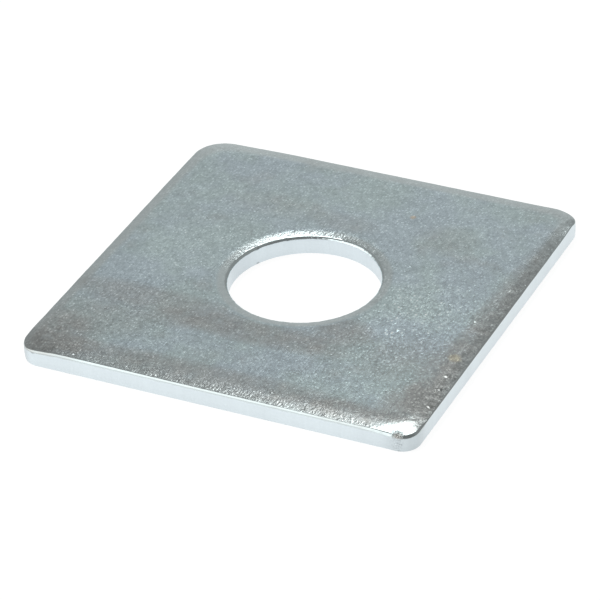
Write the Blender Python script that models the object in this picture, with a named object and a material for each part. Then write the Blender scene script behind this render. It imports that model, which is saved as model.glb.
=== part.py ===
# Square plate washer: one piece of sheet steel with a bolt hole, zinc plated.
# It lies on z = 0, with the hole's axis on +Z and the four sides facing X and Y.
# The shearing drew the top edges round, left a smooth upright land below them
# and tore the lowest part of the wall, which leans in a little.

import math

import bmesh
import bpy
from mathutils import Vector

# Driving sizes, in metres
PLATE_SIDE = 0.060
PLATE_THICKNESS = 0.003
HOLE_DIAMETER = 0.022

# Corner radii of the sheared outline, as seen from above
FRONT_LEFT_RADIUS = 0.0030
FRONT_RIGHT_RADIUS = 0.0026
BACK_RIGHT_RADIUS = 0.0032
BACK_LEFT_RADIUS = 0.0046

# The drawn edge between the sides and the flat top face
EDGE_ROLL_WIDTH = 0.0019
EDGE_ROLL_DEPTH = 0.00042
CORNER_ROLL_DEPTH = 0.00070
CORNER_ROLL_SPREAD = 0.0014

# The torn band at the foot of the sides
EDGE_TEAR_HEIGHT = 0.0012
EDGE_TEAR_LEAN = 0.00014
EDGE_FOOT_RADIUS = 0.00018

# The same three zones on the wall of the hole
RIM_ROLL_WIDTH = 0.0014
RIM_ROLL_DEPTH = 0.00042
RIM_TEAR_HEIGHT = 0.0012
RIM_TEAR_LEAN = 0.00006
RIM_FOOT_RADIUS = 0.00012

# Fineness of the mesh
CORNER_STEPS = 10
SIDE_STEPS = 14
ROLL_STEPS = 5
FOOT_STEPS = 2

# Finish of the plating
ZINC_COLOUR = (0.60, 0.65, 0.67, 1.0)
ZINC_ROUGHNESS = 0.34
SHARP_EDGE_ANGLE = math.radians(35)

# Each corner: the side of the plate it is on in X and in Y, and its radius,
# listed anticlockwise from the corner at +X and +Y
CORNERS = (
    (1, 1, BACK_RIGHT_RADIUS),
    (-1, 1, BACK_LEFT_RADIUS),
    (-1, -1, FRONT_LEFT_RADIUS),
    (1, -1, FRONT_RIGHT_RADIUS),
)
QUARTER_TURN = math.pi / 2


def clear_scene():
    for item in list(bpy.data.objects):
        bpy.data.objects.remove(item)


def quarter_steps(steps):
    # Sine and cosine at even steps over a quarter turn
    for step in range(steps + 1):
        angle = QUARTER_TURN * step / steps
        yield math.sin(angle), math.cos(angle)


def wall_section(roll_width, roll_depth, tear_height, tear_lean, foot_radius):
    # The wall's section from the bottom face up. Each point has its distance
    # behind the upright land, its height, and how far along the roll it is:
    # inwards, from 0 on the land to 1 on the top face, and down, from 1 to 0.
    points = []
    for rise, reach in quarter_steps(FOOT_STEPS):
        set_back = tear_lean + foot_radius * (1 - rise)
        points.append((set_back, foot_radius * (1 - reach), 0.0, 0.0))
    points.append((0.0, tear_height, 0.0, 0.0))
    for rise, reach in quarter_steps(ROLL_STEPS):
        height = PLATE_THICKNESS - roll_depth * (1 - rise)
        points.append((roll_width * (1 - reach), height, 1 - reach, 1 - rise))
    return points


def plate_outline(set_back, height, inwards, down):
    # A rounded square at one height of the section, as points around it.
    # On the roll the corners are rounder than the land's and drawn lower.
    half = PLATE_SIDE / 2 - set_back
    corner_drop = down * (CORNER_ROLL_DEPTH - EDGE_ROLL_DEPTH)
    arcs = []
    for index, (side_x, side_y, land_radius) in enumerate(CORNERS):
        radius = land_radius + CORNER_ROLL_SPREAD * inwards
        centre_x = side_x * (half - radius)
        centre_y = side_y * (half - radius)
        arc = []
        for step in range(CORNER_STEPS + 1):
            share = step / CORNER_STEPS
            angle = QUARTER_TURN * (index + share)
            swell = math.sin(math.pi * share) ** 2
            x = centre_x + radius * math.cos(angle)
            y = centre_y + radius * math.sin(angle)
            arc.append((x, y, height - corner_drop * swell))
        arcs.append(arc)
    points = []
    for arc, next_arc in zip(arcs, arcs[1:] + arcs[:1]):
        points.extend(arc)
        start = Vector(arc[-1])
        end = Vector(next_arc[0])
        for step in range(1, SIDE_STEPS):
            points.append(start.lerp(end, step / SIDE_STEPS))
    return points


def hole_outline(set_back, height):
    # A circle at one height of the section, with as many points as the plate's
    # outline. The hole is widest where the wall is set back furthest.
    radius = HOLE_DIAMETER / 2 + set_back
    count = len(CORNERS) * (CORNER_STEPS + SIDE_STEPS)
    points = []
    for step in range(count):
        angle = 2 * math.pi * step / count
        points.append((radius * math.cos(angle), radius * math.sin(angle), height))
    return points


def add_ring(mesh, points):
    # A closed loop of edges through the points
    corners = [mesh.verts.new(point) for point in points]
    pairs = zip(corners, corners[1:] + corners[:1])
    return [mesh.edges.new(pair) for pair in pairs]


def zinc_plating():
    material = bpy.data.materials.new("zinc_plate")
    material.use_nodes = True
    shader = material.node_tree.nodes["Principled BSDF"]
    shader.inputs["Base Color"].default_value = ZINC_COLOUR
    shader.inputs["Metallic"].default_value = 1.0
    shader.inputs["Roughness"].default_value = ZINC_ROUGHNESS
    return material


def plate_washer():
    # One skin, wrapped up the outer wall, in over the top face, down the
    # hole and out under the bottom face
    outer_section = wall_section(
        EDGE_ROLL_WIDTH, EDGE_ROLL_DEPTH, EDGE_TEAR_HEIGHT, EDGE_TEAR_LEAN, EDGE_FOOT_RADIUS
    )
    hole_section = wall_section(
        RIM_ROLL_WIDTH, RIM_ROLL_DEPTH, RIM_TEAR_HEIGHT, RIM_TEAR_LEAN, RIM_FOOT_RADIUS
    )
    mesh = bmesh.new()
    rings = [add_ring(mesh, plate_outline(*point)) for point in outer_section]
    for set_back, height, *_ in reversed(hole_section):
        rings.append(add_ring(mesh, hole_outline(set_back, height)))
    for ring, next_ring in zip(rings, rings[1:] + rings[:1]):
        bmesh.ops.bridge_loops(mesh, edges=ring + next_ring)
    bmesh.ops.recalc_face_normals(mesh, faces=mesh.faces)
    data = bpy.data.meshes.new("plate_washer")
    mesh.to_mesh(data)
    mesh.free()
    data.shade_smooth()
    data.set_sharp_from_angle(angle=SHARP_EDGE_ANGLE)
    data.materials.append(zinc_plating())
    washer = bpy.data.objects.new("plate_washer", data)
    bpy.context.collection.objects.link(washer)
    return washer


clear_scene()
plate_washer()
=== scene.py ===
import math

import bpy
from mathutils import Matrix, Vector


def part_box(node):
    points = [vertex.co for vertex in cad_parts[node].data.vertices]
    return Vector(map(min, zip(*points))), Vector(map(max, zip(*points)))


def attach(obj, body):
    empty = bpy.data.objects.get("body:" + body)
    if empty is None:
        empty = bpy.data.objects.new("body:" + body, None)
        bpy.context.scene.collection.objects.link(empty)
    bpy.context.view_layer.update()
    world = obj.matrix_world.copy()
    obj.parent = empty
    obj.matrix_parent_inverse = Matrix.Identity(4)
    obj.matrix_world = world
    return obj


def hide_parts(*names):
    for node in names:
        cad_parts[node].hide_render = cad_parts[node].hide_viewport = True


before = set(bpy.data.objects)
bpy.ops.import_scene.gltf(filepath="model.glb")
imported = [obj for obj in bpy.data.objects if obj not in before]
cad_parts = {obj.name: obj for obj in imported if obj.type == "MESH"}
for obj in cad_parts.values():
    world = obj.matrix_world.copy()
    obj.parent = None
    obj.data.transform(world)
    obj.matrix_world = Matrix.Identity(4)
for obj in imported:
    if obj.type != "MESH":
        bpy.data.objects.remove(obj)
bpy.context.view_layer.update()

print("frame loaded:", sorted(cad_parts))


# Node tree helpers

class Field:
    # an output of a node, which can be used in sums like a number
    def __init__(self, tree, socket):
        self.tree = tree
        self.socket = socket

    def calc(self, operation, *others, clamped=False):
        made = self.tree.nodes.new("ShaderNodeMath")
        made.operation = operation
        made.use_clamp = clamped
        for place, value in enumerate((self, *others)):
            plug(self.tree, value, made.inputs[place])
        return Field(self.tree, made.outputs[0])

    def __add__(self, other):
        return self.calc("ADD", other)

    def __sub__(self, other):
        return self.calc("SUBTRACT", other)

    def __mul__(self, other):
        return self.calc("MULTIPLY", other)

    def __truediv__(self, other):
        return self.calc("DIVIDE", other)

    def lessThanOne(self):
        # one minus the field
        return self.calc("MULTIPLY_ADD", -1.0, 1.0)

    def pitch(self):
        # turns the size of a pattern into a scale
        return self.calc("POWER", -1.0)

    def towards(self, other, share):
        # this field at share 0 and the other one at share 1
        made = self.tree.nodes.new("ShaderNodeMix")
        plug(self.tree, share, made.inputs[0])
        plug(self.tree, self, made.inputs[2])
        plug(self.tree, other, made.inputs[3])
        return Field(self.tree, made.outputs[0])

    def between(self, low, high, smooth=True):
        # 0 up to low, 1 from high on
        made = self.tree.nodes.new("ShaderNodeMapRange")
        made.interpolation_type = "SMOOTHSTEP" if smooth else "LINEAR"
        plug(self.tree, self, made.inputs["Value"])
        plug(self.tree, low, made.inputs["From Min"])
        plug(self.tree, high, made.inputs["From Max"])
        return Field(self.tree, made.outputs["Result"])


def plug(tree, value, socket):
    if isinstance(value, Field):
        tree.links.new(value.socket, socket)
    elif isinstance(value, bpy.types.NodeSocket):
        tree.links.new(value, socket)
    else:
        socket.default_value = value


def addNode(tree, kind, inputs=None, **settings):
    made = tree.nodes.new(kind)
    for name, value in settings.items():
        setattr(made, name, value)
    for name, value in (inputs or {}).items():
        plug(tree, value, made.inputs[name])
    return made


def openGroup(name, kind, inputs, outputs):
    # a node group with named sockets, its inputs as fields and its output node
    tree = bpy.data.node_groups.new(name, kind)
    for label, value in inputs.items():
        socketType = {
            float: "NodeSocketFloat", int: "NodeSocketInt", tuple: "NodeSocketVector",
            bpy.types.Material: "NodeSocketMaterial",
        }[type(value)]
        socket = tree.interface.new_socket(label, in_out="INPUT", socket_type=socketType)
        if socketType != "NodeSocketMaterial":
            socket.default_value = value
    for label, socketType in outputs.items():
        tree.interface.new_socket(label, in_out="OUTPUT", socket_type=socketType)
    source = tree.nodes.new("NodeGroupInput")
    given = {label: Field(tree, source.outputs[label]) for label in inputs}
    return tree, given, tree.nodes.new("NodeGroupOutput")


def splitVector(tree, vector):
    parts = addNode(tree, "ShaderNodeSeparateXYZ", {0: vector})
    return [Field(tree, output) for output in parts.outputs]


def joinVector(tree, x, y, z):
    return Field(tree, addNode(tree, "ShaderNodeCombineXYZ", {0: x, 1: y, 2: z}).outputs[0])


def scaled(tree, vector, factor):
    return addNode(tree, "ShaderNodeVectorMath", {0: vector, "Scale": factor}, operation="SCALE").outputs[0]


def noiseField(tree, vector, scale, detail=2.0, roughness=0.5, seed=0.0):
    made = addNode(
        tree, "ShaderNodeTexNoise",
        {"Vector": vector, "Scale": scale, "Detail": detail, "Roughness": roughness, "W": seed},
        noise_dimensions="4D",
    )
    return Field(tree, made.outputs[0])


# The washer: one skin in four strips, up the outer wall, over the top face,
# down the hole and out under the bottom face

low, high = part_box("plate_washer")
cadPoints = [point.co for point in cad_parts["plate_washer"].data.vertices]

holeTighter = 0.00012  # the punched hole is this much under its nominal radius
washerSizes = {  # metres
    "side": high.x - low.x,
    "thickness": high.z - low.z,
    "hole radius": min(math.hypot(point.x, point.y) for point in cadPoints) - holeTighter,
    "hole centre x": 0.00010,
    "hole centre y": -0.00008,
    "corner spread": 0.0020,  # how much rounder the corners are where the roll ends
    "rim roll width": 0.00190,
    "rim roll depth": 0.00018,
    "rim lip": 0.00058,
    "rim reach": 0.00130,
    "tear height": 0.0011,
    "tear lean": 0.00008,
    "rim tear lean": 0.00003,
    "foot radius": 0.00014,
}
washerEdges = {  # each side's roll, its width and depth, and the rounded lip below it, its height and reach
    "front": (0.0020, 0.00011, 0.00057, 0.00032),
    "right": (0.0023, 0.00045, 0.00016, 0.00014),
    "back": (0.0026, 0.00027, 0.00014, 0.00014),
    "left": (0.0023, 0.00040, 0.00016, 0.00014),
}
washerCorners = {  # each corner's radius, then the same sizes, in the order of the outline
    "back right": (0.0027, 0.0026, 0.00020, 0.00012, 0.00010),
    "back left": (0.0046, 0.0030, 0.00045, 0.00020, 0.00020),
    "front left": (0.0031, 0.0018, 0.00026, 0.00040, 0.00022),
    "front right": (0.0026, 0.0017, 0.00006, 0.00066, 0.00056),
}
cornerReach = {  # how far a corner's roll reaches along the sides that run in x and in y, and its lip
    "back right": (0.0080, 0.0080, 0.0080, 0.0080),
    "back left": (0.0160, 0.0160, 0.0160, 0.0160),
    "front left": (0.0022, 0.0080, 0.0045, 0.0045),
    "front right": (0.0090, 0.0050, 0.0110, 0.0060),
}
frontRamp = (-0.0260, 0.0060, 0.55)  # the front's roll is shallower on the left: x, x and the share
droops = {  # places that are bent down: the way they point in x and y, where that starts, its slope
    "front": (0.000, -1.000, 0.0272, 0.050),
    "front right": (0.600, -0.800, 0.0382, 0.12),
    "front left": (-0.600, -0.800, 0.0378, 0.12),
    "back right": (0.707, 0.707, 0.0399, 0.36),
}
rollSizes = ("width", "depth", "lip", "reach")
washerRelief = {
    "roll wander": 0.15,  # share by which the roll's size wanders along an edge
    "wander size": 0.0042,
    "lip wander": 0.42,
    "lip wander size": 0.0011,
    "lip turn": 0.774,  # share of a quarter turn that the lip makes before the roll takes over
    "rim turn": 0.50,
    "roll bend": 1.30,  # 1 is a straight slope, more bends it towards the wall
    "rim bend": 1.25,
    "droop blur": 0.00020,  # how softly these places start to bend down
    "face swell": 0.000011,  # height of the sheet's slow waves
    "swell size": 0.0075,
    "peel": 0.000005,  # height of the crinkles on the drawn edges
    "peel size": 0.00085,
    "tear roughness": 0.000035,
    "tear grain": 0.00055,
    "nick depth": 0.00032,
    "seed": 3.0,
}
zoneFades = {  # shares of a strip's zone between which the plating changes
    "wall": (0.40, 0.0),
    "lip": (0.0, 0.30),
    "lip end": (0.06, 0.0),
    "burnished": (0.0, 0.90),
    "tear": (1.0, 0.75),
}
workedDepth = 0.00016  # a roll this deep or deeper is fully worked metal
rollCrowding = 1.6  # power that sets the roll's rows closer together near the lip
cornerFullAt = 0.1  # share of a corner's reach within which its own sizes hold
washerMesh = {"steps around": 840, "outer rows": 36, "top rows": 34, "hole rows": 30, "bottom rows": 8}
wallRows = {"foot": 3, "tear": 6, "land": 4, "lip": 7}  # the roll takes the rest of a wall's rows
cornerPoints = 24  # in each corner of the outline
rimNick = (-0.00970, 0.00480, 0.00050)  # place and size of a nick on the hole's edge
rimBurnish = (-0.02, -0.30)  # the rim is burnished towards the front, between these shares of its radius
weldDistance = 0.000001
topFade = (0.55, 1.0)  # shares of the thickness between which the relief of the top sets in
tearStretch = 0.35  # the tear's grain is long up the wall
facePeel = 0.10  # share of the drawn edge's crinkles that the flat face has


def washerInputs(plating):
    # every named input of the washer's node tree
    inputs = {**washerSizes, **washerRelief, **washerMesh, "plating": plating}
    for side, sizes in washerEdges.items():
        for name, size in zip(rollSizes, sizes):
            inputs[side + " " + name] = size
    for corner, sizes in washerCorners.items():
        for name, size in zip(("radius", *rollSizes), sizes):
            inputs[corner + " " + name] = size
    return inputs


def sampledOutline(tree, given, extraRadius):
    # the rounded square at each share of its length: x, y and the outward direction
    square = addNode(
        tree, "GeometryNodeCurvePrimitiveQuadrilateral",
        {"Width": given["side"], "Height": given["side"]},
    )
    index = addNode(tree, "GeometryNodeInputIndex").outputs[0]
    radius = addNode(tree, "GeometryNodeIndexSwitch", {"Index": index}, data_type="FLOAT")
    while len(radius.index_switch_items) < len(washerCorners):
        radius.index_switch_items.new()
    for place, corner in enumerate(washerCorners):
        plug(tree, given[corner + " radius"] + extraRadius, radius.inputs[str(place)])
    rounded = addNode(
        tree, "GeometryNodeFilletCurve",
        {"Curve": square.outputs[0], "Radius": radius.outputs[0], "Count": cornerPoints}, mode="POLY",
    )
    around = splitVector(tree, addNode(tree, "GeometryNodeInputPosition").outputs[0])[0] + 0.5
    sample = addNode(
        tree, "GeometryNodeSampleCurve", {"Curves": rounded.outputs[0], "Factor": around},
        mode="FACTOR", use_all_curves=True,
    )
    x, y, _ = splitVector(tree, sample.outputs["Position"])
    alongX, alongY, _ = splitVector(tree, sample.outputs["Tangent"])
    return x, y, alongY, alongX * -1.0


def ovalDistance(awayX, awayY, reachX, reachY):
    # 1 on an oval with these reaches, less inside it
    shareX = awayX / reachX
    shareY = awayY / reachY
    return (shareX * shareX + shareY * shareY).calc("SQRT")


def edgeRoll(tree, given, x, y, outX, outY):
    # the sizes of the drawn edge: each side has its own, and so does each corner
    shares = {
        "front": outY.calc("MINIMUM", 0.0).calc("POWER", 2.0),
        "right": outX.calc("MAXIMUM", 0.0).calc("POWER", 2.0),
        "back": outY.calc("MAXIMUM", 0.0).calc("POWER", 2.0),
        "left": outX.calc("MINIMUM", 0.0).calc("POWER", 2.0),
    }
    sizes = {}
    for name in rollSizes:
        size = given["front " + name] * shares["front"]
        for side in ("right", "back", "left"):
            size = size + given[side + " " + name] * shares[side]
        sizes[name] = size
    rampStart, rampEnd, rampShare = frontRamp
    less = x.between(rampEnd, rampStart) * rampShare
    sizes["depth"] = sizes["depth"] - given["front depth"] * shares["front"] * less
    half = given["side"] * 0.5
    for corner in washerCorners:
        rightwards = 1.0 if "right" in corner else -1.0
        backwards = 1.0 if "back" in corner else -1.0
        awayX = x - half * rightwards
        awayY = y - half * backwards
        rollX, rollY, lipX, lipY = cornerReach[corner]
        rollNear = ovalDistance(awayX, awayY, rollX, rollY).between(1.0, cornerFullAt)
        lipNear = ovalDistance(awayX, awayY, lipX, lipY).between(1.0, cornerFullAt)
        for name in rollSizes:
            nearness = rollNear if name in ("width", "depth") else lipNear
            sizes[name] = sizes[name].towards(given[corner + " " + name], nearness)
    rollWander, lipWander = wanderFields(tree, given, joinVector(tree, x, y, 0.0))
    smoothed = shares["back"] + shares["left"]  # these two sides are burnished
    return [
        sizes["width"] * rollWander, sizes["depth"] * rollWander,
        sizes["lip"] * lipWander, sizes["reach"] * lipWander, smoothed,
    ]


def wanderFields(tree, given, spot):
    # factors near 1 that wander along an edge, for its roll and for its lip
    factors = []
    for name, turn in (("roll wander", 0.0), ("lip wander", 9.0)):
        size = "wander size" if name == "roll wander" else "lip wander size"
        noise = noiseField(tree, spot, given[size].pitch(), 4.0, 0.6, given["seed"] + turn)
        factors.append((noise - 0.5) * given[name] * 2.0 + 1.0)
    return factors


def wallStrip(tree, given, rows, place):
    # a strip of faces from a wall's foot to the end of its roll, with the share gone over each zone
    grid = addNode(
        tree, "GeometryNodeMeshGrid",
        {"Size X": 1.0, "Size Y": 1.0, "Vertices X": given["steps around"] + 1.0, "Vertices Y": rows + 1.0},
    )
    row = (splitVector(tree, addNode(tree, "GeometryNodeInputPosition").outputs[0])[1] + 0.5) * rows
    if place == "hole":
        row = rows - row  # the hole is skinned downwards
    gone = {}
    start = 0
    for zone, count in wallRows.items():
        gone[zone] = row.between(start, start + count, smooth=False)
        start = start + count
    gone["roll"] = row.between(start, rows, smooth=False).calc("POWER", rollCrowding)
    return grid.outputs[0], gone


def wallPlace(given, gone, lean, lip, reach, depth, bend, lipTurn):
    # how far the wall stands back behind its upright land, and its height
    quarter = math.pi / 2
    footRadius = given["foot radius"]
    foot = gone["foot"] * quarter
    wholeTurn = lipTurn * quarter
    turn = gone["lip"] * wholeTurn
    setBack = footRadius * foot.calc("SINE").lessThanOne() + lean * gone["tear"].lessThanOne()
    setBack = setBack + reach * turn.calc("COSINE").lessThanOne()
    landTop = given["thickness"] - depth - lip * wholeTurn.calc("SINE")
    height = footRadius * foot.calc("COSINE").lessThanOne()
    height = height + (given["tear height"] - footRadius) * gone["tear"]
    height = height + (landTop - given["tear height"]) * gone["land"]
    height = height + lip * turn.calc("SINE")
    height = height + depth * gone["roll"].lessThanOne().calc("POWER", bend).lessThanOne()
    return setBack, height


def wallZones(gone, depth, smoothed):
    # what the plating reads: the upright wall, the lip, the drawn metal above it, which is more worked
    # where the roll is deep, the burnished part of that, and the torn band
    drawn = gone["roll"].lessThanOne()
    return {
        "wall": gone["lip"].between(*zoneFades["wall"]),
        "lip": gone["lip"].between(*zoneFades["lip"]) * gone["roll"].between(*zoneFades["lip end"]),
        "drawn": drawn * (depth / workedDepth).calc("MINIMUM", 1.0),
        "burnished": drawn.between(*zoneFades["burnished"]) * smoothed,
        "tear": gone["tear"].between(*zoneFades["tear"]),
    }


def placed(tree, mesh, x, y, z, zones):
    # moves a strip to its place and keeps the zones
    for name, value in zones.items():
        stored = addNode(
            tree, "GeometryNodeStoreNamedAttribute", {"Geometry": mesh, "Name": name, "Value": value},
            data_type="FLOAT", domain="POINT",
        )
        mesh = stored.outputs[0]
    moved = addNode(
        tree, "GeometryNodeSetPosition", {"Geometry": mesh, "Position": joinVector(tree, x, y, z)}
    )
    return moved.outputs[0]


def faceStrip(tree, given, rows):
    # a plain strip of faces, and the share gone across it
    grid = addNode(
        tree, "GeometryNodeMeshGrid",
        {"Size X": 1.0, "Size Y": 1.0, "Vertices X": given["steps around"] + 1.0, "Vertices Y": rows + 1.0},
    )
    across = splitVector(tree, addNode(tree, "GeometryNodeInputPosition").outputs[0])[1] + 0.5
    return grid.outputs[0], across


def makeWasherTree(inputs):
    tree, given, result = openGroup(
        "washerShape", "GeometryNodeTree", inputs, {"Geometry": "NodeSocketGeometry"}
    )
    x, y, outX, outY = sampledOutline(tree, given, 0.0)
    flatX, flatY, flatOutX, flatOutY = sampledOutline(tree, given, given["corner spread"])
    width, depth, lip, reach, smoothed = edgeRoll(tree, given, x, y, outX, outY)
    flatX = flatX - flatOutX * width
    flatY = flatY - flatOutY * width
    fromAxis = (x * x + y * y).calc("SQRT")
    rayX = x / fromAxis
    rayY = y / fromAxis
    rimX = rayX * given["hole radius"]
    rimY = rayY * given["hole radius"]
    rimWander, rimLipWander = wanderFields(tree, given, joinVector(tree, rimX, rimY, 0.0))
    nickX, nickY, nickSize = rimNick
    awayX = rimX - nickX
    awayY = rimY - nickY
    nick = (awayX * awayX + awayY * awayY).calc("SQRT").between(nickSize, 0.0)
    rimWidth = given["rim roll width"] * rimWander
    rimDepth = given["rim roll depth"] * rimWander
    rimLip = given["rim lip"] * rimLipWander + given["nick depth"] * nick
    rimReach = given["rim reach"] * rimLipWander
    rimSmoothed = rayY.between(*rimBurnish)

    mesh, gone = wallStrip(tree, given, given["outer rows"], "outside")
    setBack, height = wallPlace(
        given, gone, given["tear lean"], lip, reach, depth, given["roll bend"], given["lip turn"]
    )
    outside = placed(
        tree, mesh,
        (x - outX * setBack).towards(flatX, gone["roll"]),
        (y - outY * setBack).towards(flatY, gone["roll"]), height, wallZones(gone, depth, smoothed),
    )
    mesh, gone = wallStrip(tree, given, given["hole rows"], "hole")
    setBack, height = wallPlace(
        given, gone, given["rim tear lean"], rimLip, rimReach, rimDepth, given["rim bend"],
        given["rim turn"],
    )
    fromCentre = (given["hole radius"] + setBack).towards(given["hole radius"] + rimWidth, gone["roll"])
    centreX = given["hole centre x"]
    centreY = given["hole centre y"]
    inside = placed(
        tree, mesh, rayX * fromCentre + centreX, rayY * fromCentre + centreY, height,
        wallZones(gone, rimDepth, rimSmoothed),
    )

    plain = {"wall": 0.0, "lip": 0.0, "drawn": 0.0, "burnished": 0.0, "tear": 0.0}
    mesh, across = faceStrip(tree, given, given["top rows"])
    rim = given["hole radius"] + rimWidth
    top = placed(
        tree, mesh,
        flatX.towards(rayX * rim + centreX, across), flatY.towards(rayY * rim + centreY, across),
        given["thickness"], plain,
    )
    mesh, across = faceStrip(tree, given, given["bottom rows"])
    outerBack = given["tear lean"] + given["foot radius"]
    footReach = given["hole radius"] + given["rim tear lean"] + given["foot radius"]
    bottom = placed(
        tree, mesh,
        (rayX * footReach + centreX).towards(x - outX * outerBack, across),
        (rayY * footReach + centreY).towards(y - outY * outerBack, across), 0.0, plain,
    )
    joined = addNode(tree, "GeometryNodeJoinGeometry")
    for strip in (outside, top, inside, bottom):
        tree.links.new(strip, joined.inputs[0])
    closed = addNode(
        tree, "GeometryNodeMergeByDistance", {"Geometry": joined.outputs[0], "Distance": weldDistance}
    )
    shaped = addRelief(tree, given, closed.outputs[0])
    smooth = addNode(tree, "GeometryNodeSetShadeSmooth", {"Geometry": shaped})
    whole = addNode(tree, "GeometryNodeRealizeInstances", {"Geometry": smooth.outputs[0]})
    coated = addNode(
        tree, "GeometryNodeSetMaterial", {"Geometry": whole.outputs[0], "Material": given["plating"]}
    )
    tree.links.new(coated.outputs[0], result.inputs["Geometry"])
    return tree


def storedZone(tree, name):
    made = addNode(tree, "GeometryNodeInputNamedAttribute", {"Name": name}, data_type="FLOAT")
    return Field(tree, made.outputs["Attribute"])


def addRelief(tree, given, mesh):
    # bends the droops down, then adds slow waves of the sheet, crinkles where it was drawn
    # and a rough tear, these three along the normal
    position = addNode(tree, "GeometryNodeInputPosition").outputs[0]
    x, y, z = splitVector(tree, position)
    share = z / given["thickness"]
    lowered = z
    for outX, outY, start, slope in droops.values():
        past = x * outX + y * outY - start
        soft = (past * past + given["droop blur"] * given["droop blur"]).calc("SQRT")
        lowered = lowered - (past + soft) * share * (slope / 2)
    bent = addNode(
        tree, "GeometryNodeSetPosition", {"Geometry": mesh, "Position": joinVector(tree, x, y, lowered)}
    )
    mesh = bent.outputs[0]
    onTop = share.between(*topFade)
    swell = noiseField(tree, position, given["swell size"].pitch(), 2.0, seed=given["seed"] + 1.0)
    height = (swell - 0.5) * given["face swell"] * onTop * 2.0
    peel = noiseField(tree, position, given["peel size"].pitch(), 1.5, seed=given["seed"] + 2.0)
    drawn = storedZone(tree, "drawn").between(0.0, 0.4) * storedZone(tree, "burnished").lessThanOne()
    height = height + (peel - 0.5) * given["peel"] * 2.0 * (drawn + facePeel) * onTop
    tear = noiseField(
        tree, joinVector(tree, x, y, z * tearStretch), given["tear grain"].pitch(), 3.0, 0.6,
        given["seed"] + 3.0,
    )
    height = height + (tear - 0.5) * given["tear roughness"] * 2.0 * storedZone(tree, "tear")
    normal = addNode(tree, "GeometryNodeInputNormal").outputs[0]
    moved = addNode(
        tree, "GeometryNodeSetPosition", {"Geometry": mesh, "Offset": scaled(tree, normal, height)}
    )
    return moved.outputs[0]


def bakeShape(name, tree, inputs):
    # runs the tree once and keeps its result as a plain mesh at the origin
    carrier = bpy.data.objects.new(name + "Carrier", bpy.data.meshes.new(name + "Carrier"))
    bpy.context.collection.objects.link(carrier)
    modifier = carrier.modifiers.new("shape", "NODES")
    modifier.node_group = tree
    for item in tree.interface.items_tree:
        if item.in_out == "INPUT":
            modifier[item.identifier] = inputs[item.name]
    graph = bpy.context.evaluated_depsgraph_get()
    mesh = bpy.data.meshes.new_from_object(carrier.evaluated_get(graph), depsgraph=graph)
    carrier.modifiers.remove(modifier)
    bpy.data.objects.remove(carrier)
    mesh.name = name
    piece = bpy.data.objects.new(name, mesh)
    bpy.context.collection.objects.link(piece)
    return piece


# The zinc plating: one material, built from groups that give grain, tints and shear marks

platingLook = {
    "wall colour": (0.704, 0.780, 0.814, 1.0),
    "hole wall colour": (0.700, 0.778, 0.816, 1.0),
    "green colour": (0.610, 0.738, 0.745, 1.0),
    "blue colour": (0.612, 0.727, 0.778, 1.0),
    "brown colour": (0.632, 0.664, 0.648, 1.0),
    "drawn colour": (0.650, 0.735, 0.740, 1.0),
    "wall roughness": 0.32,
    "face roughness": 0.20,
    "drawn roughness": 0.17,
    "lip roughness": 0.12,
    "grain": 0.00028,  # size of the grain on the faces, its height and how much it shades
    "grain stretch": 0.75,  # width of the crystals in x, as a share of their length in y
    "grain height": 0.000026,
    "grain shade": 0.75,
    "fleck pitch": 0.66,  # scale of the single bright crystals, as a share of the grain's
    "fleck share": (0.50, 1.0),  # the part of them that is seen, from faint to bright
    "fleck fade": (0.50, 0.08),  # from a fleck's border to its middle
    "fleck mean": 0.07,
    "fleck height": 0.000006,
    # painted glints: how much brighter the single crystals are painted, standing in for crystals that catch
    # the lamp
    "fleck glint": 0.36,
    "coarse grain": 0.00065,
    "coarse height": 0.000012,
    "coarse shade": 0.50,
    "peel": 0.00070,  # size and height of the crinkles on the drawn edges
    "peel height": 0.000032,
    "blotch": 0.0075,  # size of the slow changes of tint
    "blue fade": (0.36, 0.62),
    "brown pitch": 1.4,  # scales of the brown and of the dull clouds, in the blotches' own
    "cloud pitch": 3.0,
    "brown fade": (0.52, 0.75),
    "brown everywhere": 0.35,
    "patch clouds": 0.40,  # how much the dull clouds break up the brown patches
    "patch fade": (0.30, 0.60),  # clouds between which a patch comes through in full,
    "spot fade": (0.25, 0.50),  # and a small stain
    "shear line": 0.00035,
    "shear stretch": 0.06,  # the lines are long up the wall
    "broad pitch": 0.12,  # scale of the broad streaks, as a share of the lines'
    "shear height": 0.0000045,
    "dent height": 0.000070,
    "plain grain": 1.03,  # strength of the grain where nothing was burnished
    "burnished wear": 0.70,  # how much of the grain is gone where the metal was burnished,
    "burnished brown": 0.60,  # of the brown
    "burnished peel": 0.85,  # and of the crinkles
    "drawn wear": 0.15,
    "dull edge coarse": 0.60,  # how much more the coarse grain shades the right edge
    "dull edge wear": 0.60,  # and how much of the relief there is gone
    "wall streaks": 0.11,
    "wall grain": 0.08,
    "tear shade": 0.01,
    "front wall sheen": 0.05,  # painted reflection: how much brighter the front wall is painted, except near its right end
    "ring grain": 0.30,  # how much of the grain is gone in the smooth band before the hole, how much of the brown, and how much brighter it is painted, a painted sheen for the lighter surroundings it mirrors, as a patch's strength
    "ring brown": 0.80,  # how much of the brown,
    "ring brighter": 0.12,  # and how much brighter it is, as a patch's strength
    "cloud shade": 0.20,
    "cloud roughness": 0.10,
    "brown shade": 0.22,
    "foremost painted shade": 0.07,
}
ringRadii = (0.0132, 0.0124)  # the smooth band before the hole, from its outer edge inwards,
ringFront = (0.0, -0.0040)  # and the y between which it sets in
sheenFront = (-0.0290, -0.0297)  # painted reflection: the front wall is painted brighter between these y
sheenRight = (0.0260, 0.0180)  # and these x, from its right end leftwards
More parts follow.
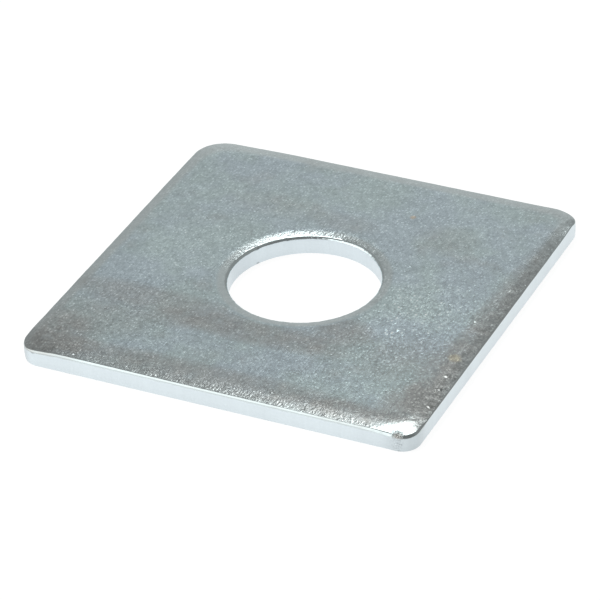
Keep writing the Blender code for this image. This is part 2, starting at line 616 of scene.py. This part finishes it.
foremostReach = (-0.020, 0.015)  # painted shade: the face is painted darker towards the viewer, standing in for its dimmer reflection there
holeRadii = (0.0120, 0.0115)  # within these the wall is the hole's
dullEdge = (0.0262, 0.0280)  # x from which the right edge is dull and mottled
tintPatches = {  # places on the face that are duller and browner, or brighter: x, y, reaches, strength
    "band left of the hole": (-0.018, -0.0125, 0.018, 0.0035, 0.55),
    "band before the hole": (0.000, -0.0152, 0.017, 0.0036, 0.75),
    "end of the band": (0.0112, -0.0104, 0.0060, 0.0042, 0.70),
    "start of the band": (-0.0125, -0.0162, 0.0065, 0.0030, 0.35),
    "beyond the hole": (-0.0005, 0.0150, 0.0065, 0.0030, 0.30),
    "inside the right edge": (0.0268, -0.0150, 0.0032, 0.0120, 0.55),
    "front edge": (0.000, -0.0272, 0.036, 0.0034, 0.70),
    # partly the corner's real olive-brown tint, partly painted shade for the darker reflection of the bent
    # corner
    "front left corner": (-0.027, -0.0270, 0.009, 0.0090, 0.90),
    "left of the front": (-0.022, -0.0190, 0.010, 0.0060, 0.35),
    "right edge": (0.0290, -0.0040, 0.0034, 0.032, 0.70),
    "near corner": (0.0265, -0.0230, 0.0050, 0.0065, 0.75),
    "right of the front": (0.0190, -0.0280, 0.0090, 0.0030, 0.50),
    "right of the hole": (0.0205, -0.0130, 0.006, 0.0080, 0.35),
    "behind the hole": (0.0150, 0.0160, 0.006, 0.0050, 0.25),
    "back left": (-0.0120, 0.0160, 0.010, 0.0040, 0.20),
    "right of the hole, brighter": (0.0175, -0.0010, 0.0085, 0.0120, -0.40),
    "left of the hole, brighter": (-0.0190, 0.0000, 0.0080, 0.0110, -0.35),
}
wallShadeAndDots = {  # darker places on the walls: painted shade at the left corner, the near corner and the left of the hole, standing in for darker reflections, and two real dark dots; x, y, z, reach along the wall and up it, strength
    "left corner": (-0.0298, -0.0282, 0.0020, 0.0028, 0.0060, 0.20),
    "left corner dot": (-0.0274, -0.0300, 0.00225, 0.00040, 0.00030, 0.40),
    "near corner": (0.0292, -0.0290, 0.0010, 0.0046, 0.0090, 0.09),
    "near corner, right": (0.0302, -0.0283, 0.0015, 0.0026, 0.0060, 0.08),
    "hole, left": (-0.0108, 0.0010, 0.0015, 0.0042, 0.0090, 0.08),
    "hole dot": (-0.00978, 0.00480, 0.00010, 0.00040, 0.00040, 0.42),
}
grainPatches = {  # places where the grain is stronger: x, y, reaches, strength
    "right of the hole": (0.0190, -0.0050, 0.0100, 0.0140, 0.55),
    "near corner": (0.0150, -0.0200, 0.0140, 0.0080, 0.15),
    "front left": (-0.0210, -0.0210, 0.0150, 0.0130, 0.25),
    "left of the hole": (-0.0180, 0.0000, 0.0080, 0.0200, 0.15),
}
faceSpots = {  # small stains on the face: x, y, size, colour
    "yellow": (0.0278, -0.01085, 0.0012, (0.80, 0.78, 0.64, 1.0)),
    "orange": (0.0080, 0.0200, 0.0006, (0.76, 0.68, 0.56, 1.0)),
    "near corner": (0.0277, -0.0300, 0.0009, (0.44, 0.45, 0.43, 1.0)),
}
dents = {  # small knocks that catch the light: x, y and size
    "front edge": (-0.0215, -0.0290, 0.00028),
    "before the hole": (0.0081, -0.0274, 0.00030),
    "right front": (0.0178, -0.0074, 0.00038),
    "right of the hole": (0.0128, 0.0080, 0.00030),
    "right edge middle": (0.0268, -0.0015, 0.00040),
    "right edge front": (0.0285, -0.0150, 0.00055),
    "right edge fore": (0.0288, -0.0182, 0.00035),
    "right edge near the corner": (0.0291, -0.0223, 0.00045),
}
crinkles = {  # rough places on the drawn edge: x, y, size and height
    "near corner, left": (0.0276, -0.0298, 0.0012, 0.00024),
}


def makeGrainGroup():
    # crystals of the plating, a little longer in y: a height that is 0 on average, and single bright ones,
    # which the plating uses for relief and as painted glints
    tree, given, result = openGroup(
        "zincGrain", "ShaderNodeTree", {"Place": (0.0, 0.0, 0.0), "Size": 0.0003, "Seed": 1.0},
        {"Height": "NodeSocketFloat", "Flecks": "NodeSocketFloat"},
    )
    x, y, z = splitVector(tree, given["Place"])
    pitch = given["Size"].pitch()
    across = y * platingLook["grain stretch"]
    grain = noiseField(tree, joinVector(tree, x, across, z), pitch, 2.0, 0.7, given["Seed"]) - 0.5
    crystals = addNode(
        tree, "ShaderNodeTexVoronoi",
        {
            "Vector": joinVector(tree, x + given["Seed"], across, z),
            "Scale": pitch * platingLook["fleck pitch"],
        },
        voronoi_dimensions="2D",
    )
    bright = splitVector(tree, crystals.outputs["Color"])[0].between(*platingLook["fleck share"])
    flecks = Field(tree, crystals.outputs["Distance"]).between(*platingLook["fleck fade"]) * bright
    plug(tree, grain, result.inputs["Height"])
    plug(tree, flecks, result.inputs["Flecks"])
    return tree


def makeTintGroup():
    # slow changes of tint, as passivated zinc has
    tree, given, result = openGroup(
        "zincTints", "ShaderNodeTree", {"Place": (0.0, 0.0, 0.0), "Size": 0.008, "Seed": 1.0},
        {"Blue": "NodeSocketFloat", "Brown": "NodeSocketFloat", "Dull": "NodeSocketFloat"},
    )
    pitch = given["Size"].pitch()
    blue = noiseField(tree, given["Place"], pitch, 3.0, 0.55, given["Seed"])
    brownPitch = pitch * platingLook["brown pitch"]
    cloudPitch = pitch * platingLook["cloud pitch"]
    brown = noiseField(tree, given["Place"], brownPitch, 4.0, 0.6, given["Seed"] + 7.0)
    dull = noiseField(tree, given["Place"], cloudPitch, 4.0, 0.65, given["Seed"] + 13.0)
    plug(tree, blue.between(*platingLook["blue fade"]), result.inputs["Blue"])
    plug(tree, brown.between(*platingLook["brown fade"]), result.inputs["Brown"])
    plug(tree, dull, result.inputs["Dull"])
    return tree


def makeShearGroup():
    # upright lines that the tool drew down a sheared wall
    tree, given, result = openGroup(
        "shearLines", "ShaderNodeTree", {"Place": (0.0, 0.0, 0.0), "Spacing": 0.0004, "Seed": 1.0},
        {"Height": "NodeSocketFloat", "Streaks": "NodeSocketFloat"},
    )
    x, y, z = splitVector(tree, given["Place"])
    drawn = joinVector(tree, x, y, z * platingLook["shear stretch"])
    pitch = given["Spacing"].pitch()
    lines = noiseField(tree, drawn, pitch, 3.0, 0.6, given["Seed"])
    broad = noiseField(tree, drawn, pitch * platingLook["broad pitch"], 2.0, 0.5, given["Seed"] + 3.0)
    plug(tree, lines, result.inputs["Height"])
    plug(tree, (lines - 0.5) * 0.5 + (broad - 0.5) + 0.5, result.inputs["Streaks"])
    return tree


def mixColours(tree, share, first, second):
    made = addNode(tree, "ShaderNodeMix", data_type="RGBA")
    plug(tree, share, made.inputs["Factor"])
    plug(tree, first, made.inputs[6])
    plug(tree, second, made.inputs[7])
    return made.outputs[2]


def awayFrom(x, y, centreX, centreY, reachX, reachY):
    # 0 at the centre of an oval and 1 on it
    awayX = (x - centreX) / reachX
    awayY = (y - centreY) / reachY
    return awayX * awayX + awayY * awayY


def spotField(x, y, *oval):
    # 1 at the centre of an oval spot, 0 outside it
    return awayFrom(x, y, *oval).between(1.0, 0.0)


def makePlating():
    material = bpy.data.materials.new("zincPlating")
    material.use_nodes = True
    tree = material.node_tree
    shader = tree.nodes["Principled BSDF"]
    place = addNode(tree, "ShaderNodeTexCoord").outputs["Object"]
    x, y, z = splitVector(tree, place)

    def zone(name):
        return Field(tree, addNode(tree, "ShaderNodeAttribute", attribute_name=name).outputs["Fac"])

    def group(source, **values):
        made = addNode(tree, "ShaderNodeGroup", node_tree=source)
        for label, value in {"Place": place, **values}.items():
            plug(tree, value, made.inputs[label])
        return {output.name: Field(tree, output) for output in made.outputs}

    wall = zone("wall")
    lip = zone("lip")
    drawn = zone("drawn").between(0.0, 0.5)
    burnished = zone("burnished")
    tear = zone("tear")
    grainTree = makeGrainGroup()
    crystals = group(grainTree, Size=platingLook["grain"], Seed=1.0)
    grain = crystals["Height"]
    flecks = crystals["Flecks"]
    coarse = group(grainTree, Size=platingLook["coarse grain"], Seed=4.0)["Height"]
    peel = group(grainTree, Size=platingLook["peel"], Seed=6.0)["Height"]
    tints = group(makeTintGroup(), Size=platingLook["blotch"], Seed=2.0)
    shear = group(makeShearGroup(), Spacing=platingLook["shear line"], Seed=1.0)

    # share of the painted shade towards the viewer
    foremost = (x * 0.5 - y).between(*foremostReach)
    fromAxis = (x * x + y * y).calc("SQRT")
    ring = fromAxis.between(*ringRadii) * y.between(*ringFront)
    worn = burnished * -platingLook["burnished wear"] + platingLook["plain grain"]
    worn = worn * (ring * -platingLook["ring grain"] + 1.0)
    for centreX, centreY, reachX, reachY, strength in grainPatches.values():
        worn = worn + spotField(x, y, centreX, centreY, reachX, reachY) * strength
    banded = x.between(*dullEdge) * drawn
    patches = tints["Brown"] * platingLook["brown everywhere"]
    for centreX, centreY, reachX, reachY, strength in tintPatches.values():
        patches = patches + spotField(x, y, centreX, centreY, reachX, reachY) * strength
    clouds = tints["Dull"].between(*platingLook["patch fade"]).lessThanOne() * platingLook["patch clouds"]
    brown = patches * clouds.lessThanOne() * (burnished * -platingLook["burnished brown"] + 1.0)
    # the burnished band before the hole loses brown and carries a painted sheen
    brown = brown * (ring * -platingLook["ring brown"] + 1.0) - ring * platingLook["ring brighter"]
    colour = mixColours(tree, tints["Blue"], platingLook["green colour"], platingLook["blue colour"])
    colour = mixColours(tree, drawn, colour, platingLook["drawn colour"])
    colour = mixColours(tree, brown.calc("MINIMUM", 1.0), colour, platingLook["brown colour"])
    for centreX, centreY, size, tint in faceSpots.values():
        share = spotField(x, y, centreX, centreY, size, size)
        share = share * tints["Dull"].between(*platingLook["spot fade"])
        colour = mixColours(tree, share, colour, tint)
    # painted glints: the single bright crystals are painted lighter
    shade = (flecks - platingLook["fleck mean"]) * platingLook["fleck glint"]
    shade = shade + grain * platingLook["grain shade"]
    shade = shade + coarse * platingLook["coarse shade"] * (banded * platingLook["dull edge coarse"] + 1.0)
    shade = shade * worn * lip.lessThanOne() + (tints["Dull"] - 0.5) * platingLook["cloud shade"]
    # the brown patches darken the colour, and the painted shade darkens it towards the viewer
    shade = shade - brown * platingLook["brown shade"] - foremost * platingLook["foremost painted shade"] + 1.0
    walls = (shear["Streaks"] - 0.5) * platingLook["wall streaks"] + grain * platingLook["wall grain"]
    walls = walls - tear * platingLook["tear shade"] + 1.0
    # painted reflection: the front wall is painted brighter than the other walls
    frontSheen = y.between(*sheenFront) * x.between(*sheenRight)
    walls = walls + frontSheen * platingLook["front wall sheen"]
    # painted shade on the walls, and the two real dark dots
    for centreX, centreY, centreZ, reach, reachUp, strength in wallShadeAndDots.values():
        above = (z - centreZ) / reachUp
        away = awayFrom(x, y, centreX, centreY, reach, reach) + above * above
        walls = walls - away.between(1.0, 0.0) * strength
    inHole = fromAxis.between(*holeRadii)
    wallColour = mixColours(tree, inHole, platingLook["wall colour"], platingLook["hole wall colour"])
    wallColour = scaled(tree, wallColour, walls)
    plug(tree, mixColours(tree, wall, scaled(tree, colour, shade), wallColour), shader.inputs["Base Color"])

    rough = drawn * (platingLook["drawn roughness"] - platingLook["face roughness"])
    rough = rough + platingLook["face roughness"]
    rough = rough + (tints["Dull"] - 0.5) * platingLook["cloud roughness"]
    rough = rough.towards(platingLook["lip roughness"], lip)
    plug(tree, rough.towards(platingLook["wall roughness"], wall), shader.inputs["Roughness"])
    shader.inputs["Metallic"].default_value = 1.0

    bumps = grain * platingLook["grain height"] * worn + coarse * platingLook["coarse height"] * worn
    bumps = bumps * (drawn * -platingLook["drawn wear"] + 1.0)
    bumps = bumps + flecks * platingLook["fleck height"] * drawn * worn
    crinkled = drawn * (burnished * -platingLook["burnished peel"] + 1.0)
    bumps = bumps + peel * platingLook["peel height"] * crinkled
    bumps = bumps * (banded * -platingLook["dull edge wear"] + 1.0)
    for centreX, centreY, size in dents.values():
        bumps = bumps + spotField(x, y, centreX, centreY, size, size) * platingLook["dent height"]
    bumps = bumps * lip.lessThanOne() + shear["Height"] * platingLook["shear height"] * wall
    for centreX, centreY, size, height in crinkles.values():
        bumps = bumps + (grain + coarse) * spotField(x, y, centreX, centreY, size, size) * height
    bump = addNode(tree, "ShaderNodeBump", {"Strength": 1.0, "Distance": 1.0, "Height": bumps})
    plug(tree, bump.outputs[0], shader.inputs["Normal"])
    return material


washerValues = washerInputs(makePlating())
washer = bakeShape("platedWasher", makeWasherTree(washerValues), washerValues)
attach(washer, "root")
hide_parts("plate_washer")
print("washer made:", len(washer.data.polygons), "faces")


# The studio: a white floor, one large soft lamp overhead and grey surroundings
# with a light panel before the object, on the left

studio = {
    "floor size": 6.0,
    "floor drop": 0.00003,
    "floor colour": (0.80, 0.80, 0.80, 1.0),
    "floor seen": (0.20, 0.20, 0.20, 1.0),  # lit colour of the floor for camera and metal,
    "floor glow": 0.91,  # with this much light of its own
    "lamp place": (-0.1400, 0.385, 0.80),
    "lamp size": (0.400, 0.72),
    "lamp power": 2.38,
}
surroundings = {  # brightness of what is around
    "back": 0.475,
    "low back": 0.17,  # added towards the floor
    "above": 0.32,
    "right": 0.34,
    "left": 0.36,
    "front": 0.23,
    "panel": 1.62,
}
panelAim = (-0.75, -0.66)  # x and y of the direction in which the light panel stands
fades = {  # parts of a direction, in x, y or z, between which each brightness sets in
    "low back": (0.55, 0.10),
    "right": (-0.28, 0.02),
    "left": (-0.44, -0.75),
    "above": (0.58, 0.70),
    "front": (0.25, -0.15),
    "panel sides": (0.62, 0.92),
    "panel top": (0.86, 0.76),
}


def makeFloor():
    half = studio["floor size"] / 2
    drop = -studio["floor drop"]
    mesh = bpy.data.meshes.new("studioFloor")
    corners = [(-half, -half, drop), (half, -half, drop), (half, half, drop), (-half, half, drop)]
    mesh.from_pydata(corners, [], [(0, 1, 2, 3)])
    floor = bpy.data.objects.new("studioFloor", mesh)
    bpy.context.collection.objects.link(floor)
    material = bpy.data.materials.new("paleFloor")
    material.use_nodes = True
    tree = material.node_tree
    tree.nodes.clear()
    rays = addNode(tree, "ShaderNodeLightPath")
    seen = Field(tree, rays.outputs["Is Camera Ray"]) + Field(tree, rays.outputs["Is Glossy Ray"])
    seen = seen.calc("ADD", Field(tree, rays.outputs["Is Transmission Ray"]), clamped=True)
    lit = addNode(tree, "ShaderNodeBsdfDiffuse", {"Color": studio["floor colour"]})
    dimmed = addNode(tree, "ShaderNodeBsdfDiffuse", {"Color": studio["floor seen"]})
    glow = addNode(tree, "ShaderNodeEmission", {"Strength": seen * studio["floor glow"]})
    both = addNode(tree, "ShaderNodeAddShader", {0: dimmed.outputs[0], 1: glow.outputs[0]})
    chosen = addNode(tree, "ShaderNodeMixShader", {0: seen, 1: lit.outputs[0], 2: both.outputs[0]})
    output = addNode(tree, "ShaderNodeOutputMaterial")
    tree.links.new(chosen.outputs[0], output.inputs["Surface"])
    mesh.materials.append(material)


def makeLamp():
    data = bpy.data.lights.new("overheadLamp", "AREA")
    data.shape = "RECTANGLE"
    data.size, data.size_y = studio["lamp size"]
    data.energy = studio["lamp power"]
    lamp = bpy.data.objects.new("overheadLamp", data)
    lamp.location = studio["lamp place"]
    bpy.context.collection.objects.link(lamp)


def makeSurroundings():
    world = bpy.data.worlds.new("studio")
    world.use_nodes = True
    tree = world.node_tree
    x, y, z = splitVector(tree, addNode(tree, "ShaderNodeTexCoord").outputs["Generated"])
    back = z.between(*fades["low back"]) * surroundings["low back"] + surroundings["back"]
    level = back.towards(surroundings["right"], x.between(*fades["right"]))
    level = level.towards(surroundings["left"], x.between(*fades["left"]))
    level = level.towards(surroundings["above"], z.between(*fades["above"]))
    level = level.towards(surroundings["front"], y.between(*fades["front"]))
    flat = (x * x + y * y).calc("SQRT")
    aimX, aimY = panelAim
    ahead = (x * aimX + y * aimY) / flat
    panel = ahead.between(*fades["panel sides"]) * z.between(*fades["panel top"])
    level = level.towards(surroundings["panel"], panel)
    plug(tree, level, tree.nodes["Background"].inputs["Strength"])
    tree.nodes["Background"].inputs["Color"].default_value = (1.0, 1.0, 1.0, 1.0)
    bpy.context.scene.world = world


makeFloor()
makeLamp()
makeSurroundings()
bpy.context.scene.view_settings.view_transform = "Standard"
print("studio set")


# The camera, at the photograph's viewing angle

cameraView = {  # degrees, metres and millimetres of lens
    "azimuth": 26.90,
    "elevation": 33.263,
    "roll": -3.03,
    "distance": 0.52823,
    "target": (-0.000067, -0.001490, 0.0),
    "lens": 224.67,
}


def makeCamera():
    azimuth = math.radians(cameraView["azimuth"])
    elevation = math.radians(cameraView["elevation"])
    back = Vector((
        math.sin(azimuth) * math.cos(elevation),
        -math.cos(azimuth) * math.cos(elevation),
        math.sin(elevation),
    ))
    data = bpy.data.cameras.new("photoCamera")
    data.lens = cameraView["lens"]
    data.clip_start = 0.01
    camera = bpy.data.objects.new("photoCamera", data)
    level = back.to_track_quat("Z", "Y").to_matrix()
    tilt = Matrix.Rotation(math.radians(cameraView["roll"]), 3, "Z")
    camera.matrix_world = (level @ tilt).to_4x4()
    camera.location = Vector(cameraView["target"]) + back * cameraView["distance"]
    bpy.context.collection.objects.link(camera)
    bpy.context.scene.camera = camera


makeCamera()
print("camera placed")
